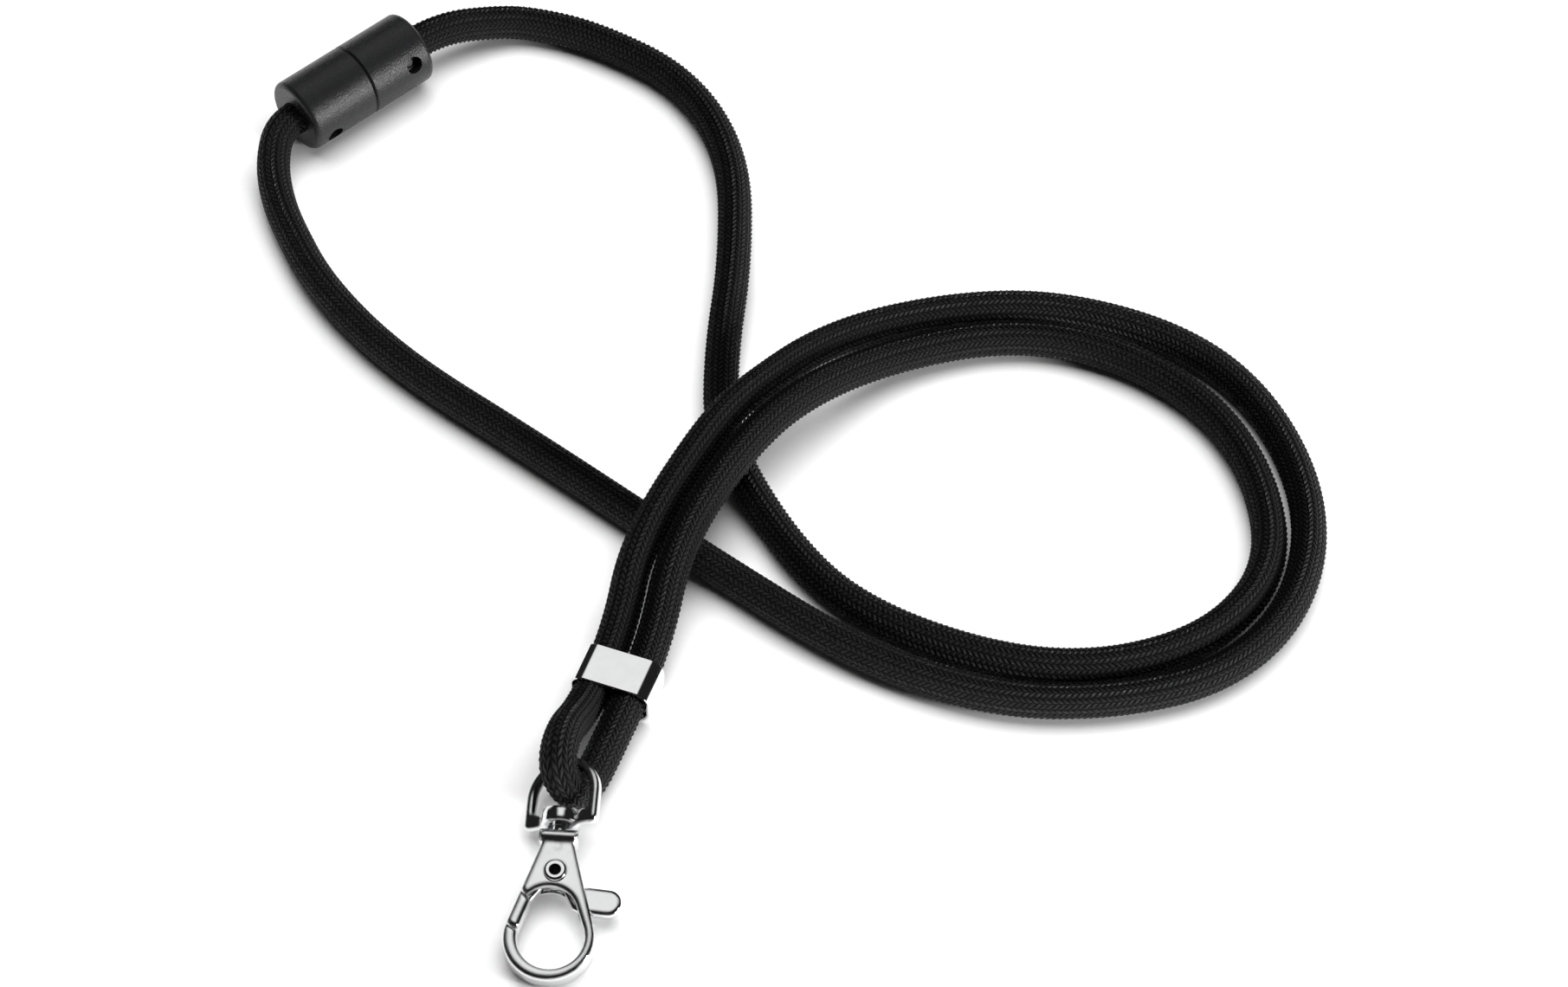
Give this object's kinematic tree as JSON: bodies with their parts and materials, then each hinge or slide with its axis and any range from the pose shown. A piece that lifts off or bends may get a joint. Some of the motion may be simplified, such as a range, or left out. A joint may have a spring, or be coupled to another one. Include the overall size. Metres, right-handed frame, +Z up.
{
  "type": "neck lanyard",
  "caption": "Neck lanyard of round braided cord with a pull-apart barrel release and a swivel hook with a sprung gate, laid in a loop.",
  "frame": {"origin": "on the table, under the middle of the box round the rigid pieces (release, sleeve and hook)", "axes": "+Z up from the table; +Y from the hook towards the barrel release; +X towards the cord's large loop"},
  "size_m": [0.1719, 0.1897, 0.013],
  "materials": {
    "cord": "matte braid",
    "release": "fine grain",
    "pin": "matte",
    "chrome": "polished",
    "spring": "drawn wire"
  },
  "bodies": {
    "cord_side": {"release_plug": "release", "plug_pin": "pin", "plug_cord_end": "cord", "cord": "cord", "cord_by_socket": "cord", "sleeve": "chrome"},
    "socket_half": {"release_socket": "release", "socket_pin": "pin", "socket_cord_end": "cord"},
    "eye": {"swivel_eye": "chrome"},
    "hook": {"hook_body": "chrome", "swivel_stud": "chrome", "gate_rivet": "chrome", "gate_spring": "spring"},
    "gate": {"gate_lever": "chrome"}
  },
  "joints": [
    {"name": "release_pull", "type": "slide", "parent": "cord_side", "child": "socket_half", "axis": [-0.7466, -0.6652, 0], "range_m": [0, 0.012], "deforming": ["cord_by_socket"]},
    {"name": "eye_swing", "type": "hinge", "parent": "cord_side", "child": "eye", "pos_m": [0.01948, -0.05694, 0.00606], "axis": [0.9007, -0.1144, 0.4191], "range_deg": [-60, 30]},
    {"name": "hook_swivel", "type": "hinge", "parent": "eye", "child": "hook", "pos_m": [0.0183, -0.0747, 0.00375], "axis": [0.0657, 0.9895, 0.1288], "continuous": true},
    {"name": "gate_open", "type": "hinge", "parent": "hook", "child": "gate", "pos_m": [0.0183, -0.0747, 0.00375], "axis": [-0.0085, -0.1285, 0.9917], "range_deg": [0, 20], "stiffness_Nm_per_rad": 0.01, "springref_deg": -20.05}
  ]
}
